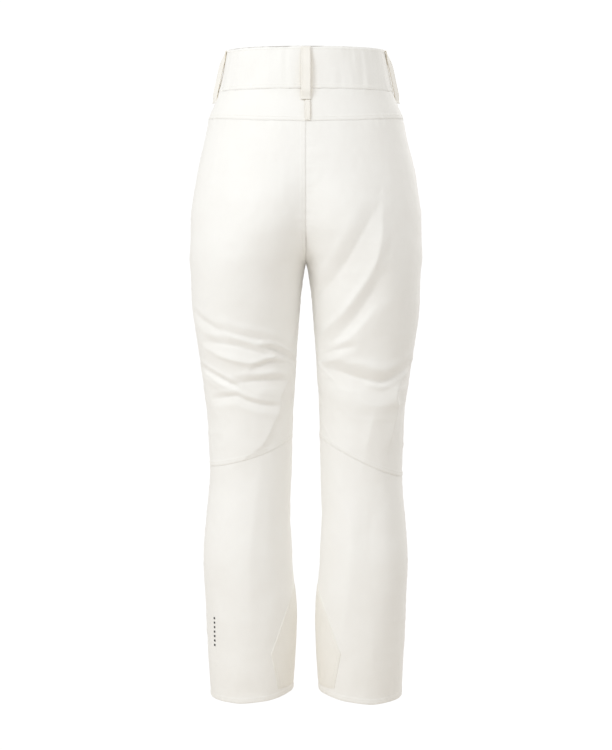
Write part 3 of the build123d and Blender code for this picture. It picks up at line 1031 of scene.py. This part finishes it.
def add_tube(name, side_name, top, bottom, depth, thickness, material, attach, replaced,
             step=9.0, ripple=0.0):
    """A closed tube round one leg, or an open one where the centre plane cuts it."""
    side = SIDES[side_name]
    count = max(3, round((top - bottom) / step))
    rows, cols = np.linspace(0, 1, count), np.linspace(-1, 1, 72)
    share, turn = np.meshgrid(rows, cols, indexing="ij")
    z = top + (bottom - top) * share
    d = depth(z) if callable(depth) else np.full(z.shape, float(depth))
    angle = turn * edge_angle(0.0, z, d)
    base, out = tube_points(side, angle, z, d)
    height = relief(side, angle, z) if material is LINING_CLOTH else 0 * z
    height = height + ripple * noise(base, (7, 7, 60), 6.6)
    points = base + out * height[..., None]
    piece, size = sheet_from(name, points, side < 0, thickness, material, base)
    declare(piece, size, attach, side_name, replaced)


def gaiter_depth(z):
    """The gaiter leaves the lining at its top and is drawn in at its foot."""
    share = np.clip((-885.0 - z) / 137.0, 0, 1)
    return 9.0 + 9.0 * smooth(share) + 2.0 * bell((z + 1022) / 7)


def gripper_depth(z):
    return gaiter_depth(z) - GRIPPER_STAND


for side_name in SIDES:
    add_tube(f"upper_lining_{side_name}", side_name, -66.0, -700.0, LINING_DEPTH, 0.8,
             LINING_CLOTH, bend_hip, [f"seat_lining_{side_name}",
                                      f"thigh_lining_{side_name}"])
    add_tube(f"lower_lining_{side_name}", side_name, -640.0, -1040.0, LINING_DEPTH, 0.8,
             LINING_CLOTH, bend_knee, [f"lower_leg_lining_{side_name}"])
    add_tube(f"snow_gaiter_{side_name}_cloth", side_name, GAITER_TOP, GAITER_FOOT,
             gaiter_depth, 0.8, GAITER_CLOTH, ride_shin, [f"snow_gaiter_{side_name}"],
             step=4.0, ripple=1.6)
    add_tube(f"gaiter_hem_{side_name}", side_name, GRIPPER_TOP, GRIPPER_FOOT,
             gripper_depth, 1.0, ELASTIC_CLOTH, ride_shin,
             [f"gaiter_elastic_{side_name}"], step=2.0, ripple=1.3)

# %% Scuff guards
GUARD_TOP, GUARD_BOTTOM = -885.0, -1053.0
GUARD_STITCH_ROWS = (3.0, 6.5)  # distance of the rows of stitches from the edge
GUARD_EDGE = [(-882, 18), (-992, 58), (-1052, 47)]  # height and x of the slanted edge


def add_scuff_guard(side_name):
    side = SIDES[side_name]
    z_edge, x_edge = np.array(GUARD_EDGE[::-1], float).T
    rows, cols = spread(166, 3.0), spread(150, 3.0)
    share, turn = np.meshgrid(rows, cols, indexing="ij")
    z = GUARD_TOP + (GUARD_BOTTOM - GUARD_TOP) * share
    start = edge_angle(np.interp(z, z_edge, x_edge), z) * 0.999
    angle = start + (2 * math.pi - 2 * start) * turn
    wrapped = np.where(angle > math.pi, angle - 2 * math.pi, angle)
    base, out = tube_points(side, wrapped, z)
    across, down = lengths_along(base, 1), lengths_along(base, 0)
    from_edge = np.minimum(across, across[:, -1:] - across)
    hem = smooth((z - GUARD_BOTTOM) / 6)
    height = relief(side, wrapped, z) + 0.15 + 0.75 * smooth(from_edge / 1.6) * hem
    height += puckers(base, from_edge, 0.3)
    height -= 0.3 * bell((from_edge - GUARD_STITCH_ROWS[0]) / 0.8)
    points = base + out * height[..., None]
    piece, size = sheet_from(f"scuff_guard_{side_name}_cloth", points, side < 0, 0.8,
                             SCUFF_CLOTH, base)
    half = from_edge.shape[1] // 2
    lines = []
    for row in GUARD_STITCH_ROWS:
        for part in (slice(0, half), slice(half, None)):
            lines.append((row_line(points[:, part], from_edge[:, part], row, 1)[16:],
                          row_line(out[:, part], from_edge[:, part], row, 1)[16:]))
    add_stitches(f"scuff_guard_{side_name}_stitches", lines, ride_shin, side_name)
    declare(piece, size, ride_shin, side_name, [f"scuff_guard_{side_name}"])


for side_name in SIDES:
    add_scuff_guard(side_name)

# %% [markdown]
# ## Belt loops and the hook tab
#
# A belt loop is a strip folded in three, stitched down both long edges and tacked at
# both ends with two rows of stitches. It stands off the band so that a belt can pass,
# so its path is a shallow bow from one tack to the other.

# %% Belt loops
LOOP_TOP, LOOP_FOOT = -1.5, -87.0
STRAP_PLACES = np.array([-0.5, -0.47, -0.42, -0.36, -0.2, 0, 0.2, 0.36, 0.42, 0.47, 0.5])
STRAP_STITCH, TACK_ROWS = 0.38, (2, 4, 55, 57)


def strap_path(direction, bow, rise, top, foot):
    """Points down a strap and the directions that leave it, in an upright plane."""
    way = np.array([math.cos(direction), math.sin(direction), 0.0])
    share = np.linspace(0, 1, 61)
    z = top + (foot - top) * share
    cx, a, cy, b = section(z)
    # how far a ray from the middle of the waist gets before it crosses the ellipse
    x_dir, y_dir = abs(way[0]), way[1]
    m = (x_dir / a) ** 2 + (y_dir / b) ** 2
    n = x_dir * cx / a**2 + y_dir * cy / b**2
    c = (cx / a) ** 2 + (cy / b) ** 2 - 1
    reach = (n + np.sqrt(np.maximum(n * n - m * c, 0))) / m
    lift = rise + bow * smooth(share / 0.38) * smooth((1 - share) / 0.2)
    points = way * (reach + lift)[:, None] + np.stack([0 * z, 0 * z, z], -1)
    return points, way


def add_strap(name, node, direction, width, bow, rise, side=1, twist=0.0,
              thickness=1.5, top=LOOP_TOP, foot=LOOP_FOOT):
    """One strap. The twist, in radians, turns its middle towards the back."""
    points, way = strap_path(direction, bow, rise, top, foot)
    slope = unit(np.gradient(points, axis=0))
    share = np.linspace(0, 1, len(points))
    twisting = smooth(share / 0.25) * (1 - 0.3 * smooth((share - 0.8) / 0.2))
    turned = direction + twist * twisting
    facing = np.stack([np.cos(turned), np.sin(turned), 0 * turned], -1)
    across = np.cross(facing, [0, 0, 1.0])
    out = np.cross(slope, across)
    out *= np.sign((out @ way))[:, None]
    across = across[:, None]
    edge = 0.5 - np.abs(STRAP_PLACES)
    crown = thickness * (0.55 + 0.45 * smooth(edge / 0.06))
    crown = crown - 0.25 * bell((edge - 0.12) / 0.03)
    foot_spread = 1 + 0.06 * smooth((share - 0.93) / 0.05)
    grid = (points[:, None] + across * (STRAP_PLACES * width)[None, :, None]
            * foot_spread[:, None, None] + out[:, None] * crown[None, :, None])
    grid = grid + out[:, None] * (0.25 * noise(grid, (9, 9, 22), 3.0))[..., None]
    lines = []
    for place in (-STRAP_STITCH, STRAP_STITCH):
        line = (points + across[:, 0] * (place * width) + out * (thickness - 0.1))[2:-2]
        lines.append((line, out[2:-2]))
    for row in TACK_ROWS:
        ends = np.stack([grid[row, 1], grid[row, -2]])
        lines.append((ends + out[row] * 0.1, np.stack([out[row]] * 2)))
    middle = len(points) // 2
    down, along = grid[middle + 1, 5] - grid[middle, 5], grid[middle, 6] - grid[middle, 5]
    flip = np.dot(np.cross(down, along), way) < 0
    if side < 0:
        mirror = np.array([-1, 1, 1])
        grid, flip = grid * mirror, not flip
        lines = [(p * mirror, o * mirror) for p, o in lines]
    piece, size = sheet_from(name, grid, flip, thickness, LOOP_CLOTH)
    # faces that turn towards the band take the golden tan: painted shade inside the loop
    piece.data.materials.append(PAINTED_LOOP_SHADE)
    for face in piece.data.polygons:
        inwards = face.normal.x * way[0] * side + face.normal.y * way[1] < -0.2
        face.material_index = int(inwards)
    add_stitches(name + "_stitches", lines, ride_hips, "left")
    declare(piece, size, ride_hips, "left", [node])


add_strap("loop_back", "belt_loop_back", math.pi / 2, 15.0, 5.6, 1.4)
for side_name, side in SIDES.items():
    add_strap(f"loop_side_{side_name}", f"belt_loop_side_{side_name}",
              math.radians(4), 17.0, 3.2, 1.2, side=side, twist=0.4)
    add_strap(f"loop_front_{side_name}", f"belt_loop_front_{side_name}",
              math.radians(-62), 13.0, 5.5, 1.6, side=side)
add_strap("hook_tab", "back_hook_tab", math.radians(91.4), 8.0, 0.6, 1.3,
          thickness=1.6, top=-88.0, foot=-120.0)

# %% [markdown]
# ## Zips
#
# A moulded zip is two tapes with interlocking teeth. One tooth is a small bevelled
# block; it is modelled once and repeated up the edge of each tape, half a pitch apart
# on the two sides. The slider and the pull keep their shapes from the rigid model, since
# they move by themselves.

# %% Zip tapes and teeth
TOOTH_PITCH, TOOTH = 2.0, (2.3, 1.25, 1.5)  # along the tape; width, length, height
CHAIN_INSET = 1.5  # from each end of the tapes to the first and the last tooth
TOOTH_ASIDE, TOOTH_LIFT = 1.25, 1.0  # from the middle of the tapes to a tooth's middle


def zip_axes(node):
    """A zip's upper end, its direction down, across and out, and its length, in mm."""
    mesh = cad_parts[node].data
    points = np.array([v.co for v in mesh.vertices]) / MM
    middle = points.mean(0)
    spread_ways = np.linalg.svd(points - middle, full_matrices=False)[2]
    down, across, out = spread_ways
    down = down * (1 if down[2] < 0 else -1)
    out = out * (1 if out[1] < 0 else -1)
    across = np.cross(out, down)
    along = (points - middle) @ down
    return middle + down * along.min(), down, across, out, np.ptp(along)


def tooth_block():
    """One tooth as a bevelled block, centred on the origin, as points and faces."""
    bpy.ops.mesh.primitive_cube_add(size=1)
    cube = bpy.context.object
    cube.data.transform(Matrix.Diagonal((*TOOTH, 1)))
    bevel = cube.modifiers.new("bevel", "BEVEL")
    bevel.width = 0.3
    bpy.ops.object.modifier_apply(modifier=bevel.name)
    points = np.array([v.co for v in cube.data.vertices])
    faces = [list(f.vertices) for f in cube.data.polygons]
    bpy.data.objects.remove(cube)
    return points, faces


def add_zip(name, tapes_node, teeth_node, tape_width):
    """The two halves of a zip's chain as one piece, and its two tapes."""
    start, down, across, out, length = zip_axes(tapes_node)
    shape, shape_faces = tooth_block()
    vertices, faces = [], []
    for k in range(int((length - 2 * CHAIN_INSET) / TOOTH_PITCH)):
        for s in (-1, 1):
            place = CHAIN_INSET + (k + 0.25 + 0.25 * s) * TOOTH_PITCH
            centre = start + down * place + across * s * TOOTH_ASIDE + out * TOOTH_LIFT
            first = len(vertices)
            vertices.extend(centre + shape @ np.stack([across, down, out]))
            faces.extend([[first + i for i in f] for f in shape_faces])
    teeth = new_mesh(name + "_teeth", vertices, faces, material=ACETAL)
    mesh_outwards(teeth)
    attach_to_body(teeth, "hips")
    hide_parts(teeth_node)
    for s, half in ((-1, "a"), (1, "b")):
        rows = np.linspace(0, length, 60)
        offsets = np.array([0.8, 1.4, 2.6, 3.2, 5.0, tape_width / 2])
        cord = 0.2 * bell((offsets - 2.6) / 0.7)
        grid = (start + rows[:, None, None] * down
                + (offsets * s)[None, :, None] * across
                + (cord - 0.15)[None, :, None] * out)
        flip = s * np.dot(np.cross(down, across), out) < 0
        tape, size = sheet_from(f"{name}_tape_{half}", grid, flip, 0.6, TAPE_CLOTH)
        declare(tape, size, ride_hips, "left", [tapes_node] if s == 1 else [])


add_zip("fly_zip", "fly_zip_tapes", "fly_zip_teeth", 18.0)
for side_name in SIDES:
    add_zip(f"pocket_zip_{side_name}", f"pocket_zip_tapes_{side_name}",
            f"pocket_zip_teeth_{side_name}", 14.0)

# %% Finishes of the sliders, pulls and snaps, which keep their shapes
FINISHES = (
    (ENAMEL, ("fly_slider", "pocket_slider_left", "pocket_slider_right")),
    (GRIP, ("fly_pull", "pocket_pull_left", "pocket_pull_right")),
    (NICKEL, ("snap_caps", "snap_studs")),
)
for material, nodes in FINISHES:
    for node in nodes:
        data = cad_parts[node].data
        data.materials.clear()
        data.materials.append(material)

# %% [markdown]
# ## Inner cloth, the waist tab and the mark
#
# Inside the waist an elastic gathers the back of the band, a bag hangs behind each hand
# pocket and a guard backs the fly zip. Outside, a stitched tab laps over the front with
# two snaps. All but the guard are patches that follow the tube.

# %% Patches
def patch(side, angles, heights, depth, corner, wave):
    """A grid on the tube with rounded corners, and the directions that leave it."""
    v, u = np.meshgrid(np.linspace(-1, 1, 40), np.linspace(-1, 1, 60), indexing="ij")
    across, down = u * (1 - corner * v**8), v * (1 - corner * u**8)
    z = (heights[0] + heights[1]) / 2 + (heights[1] - heights[0]) / 2 * down
    turn = (angles[0] + angles[1]) / 2 + (angles[1] - angles[0]) / 2 * across
    base, out = tube_points(side, turn, z, depth)
    return base + out * (wave * noise(base, (9, 9, 60), 12.0))[..., None], out


def add_patch(name, side, angles, heights, depth, thickness, material, node,
              attach=ride_hips, corner=0.1, wave=0.0):
    points, out = patch(side, angles, heights, depth, corner, wave)
    sample = np.cross(points[1, 0] - points[0, 0], points[0, 1] - points[0, 0])
    flip = np.dot(sample, out[0, 0]) < 0
    piece, size = sheet_from(name, points, flip, thickness, material)
    declare(piece, size, attach, "left", [node])
    return points, out


for side_name, side in SIDES.items():
    add_patch(f"elastic_{side_name}", side, (0.1, math.pi / 2 - 0.02), (-15, -56), 2.4, 0.8,
              ELASTIC_CLOTH, f"waist_elastic_{side_name}", corner=0.0,
              wave=0.3)
    add_patch(f"pocket_pouch_{side_name}", side, (-0.95, -0.42), (-102, -262), 8.4, 0.8,
              LINING_CLOTH, f"pocket_bag_{side_name}", corner=0.16, wave=0.8)


def add_fly_guard():
    low, high = [np.array(corner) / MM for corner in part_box("fly_guard")]
    x, z = np.meshgrid(np.linspace(low[0], high[0], 12), np.linspace(high[2], low[2], 40))
    y = low[1] + 0.5 * noise(np.stack([x, x, z], -1), (12, 12, 30), 2.0)
    cloth, size = sheet_from("fly_guard_cloth", np.stack([x, y, z], -1), False, 1.0,
                             LINING_CLOTH)
    declare(cloth, size, ride_hips, "left", ["fly_guard"])


add_fly_guard()

# %% The waist tab
TAB_ENDS, WAIST_HALF = (2, -38), 130  # x of the tab's ends; half the waist's width
TAB_ANGLES = [-math.acos(x / WAIST_HALF) for x in TAB_ENDS]
tab_points, tab_out = add_patch("waist_tab_cloth", LEFT, TAB_ANGLES, (-3, -66), -4.4, 2.0,
                                BAND_CLOTH, "waist_tab", ride_tab,
                                corner=0.08)
INSET = 4  # rows of the tab's grid between its edge and the stitches
inner = slice(INSET, -INSET)
rim = [(tab_points[INSET, inner], tab_out[INSET, inner]),
       (tab_points[-INSET, inner], tab_out[-INSET, inner]),
       (tab_points[inner, -INSET], tab_out[inner, -INSET])]
add_stitches("waist_tab_stitches", rim, ride_tab, "left")

# %% The mark at the ankle
MARK_X, MARK_TOP_Z, MARK_STEP, MARK_COUNT = 149.5, -936.0, 7.6, 7
MARK_WIDTH, MARK_HEIGHT, MARK_STAND = 2.4, 3.4, 0.22


def mark_mesh():
    """Small plain blocks of print that lie on the cloth, one above the other."""
    vertices, faces = [], []
    for k in range(MARK_COUNT):
        v, u = np.meshgrid(np.linspace(-1, 1, 6), np.linspace(-1, 1, 6), indexing="ij")
        z = MARK_TOP_Z - k * MARK_STEP - v * MARK_HEIGHT / 2
        angle = edge_angle(MARK_X + u * MARK_WIDTH / 2, z)
        base, out = tube_points(LEFT, angle, z)
        height = relief(LEFT, angle, z) + MARK_STAND
        first = len(vertices)
        vertices.extend((base + out * height[..., None]).reshape(-1, 3))
        faces.extend([[first + i for i in face] for face in grid_faces(6, 6)])
    return vertices, faces


mark_vertices, mark_faces = mark_mesh()
mark = new_mesh("ankle_print", mark_vertices, mark_faces, material=PRINT_INK)
thicken(mark, 0.15)
ride_shin(mark, "left")
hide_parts("ankle_mark")
print("the mark has", MARK_COUNT, "blocks")
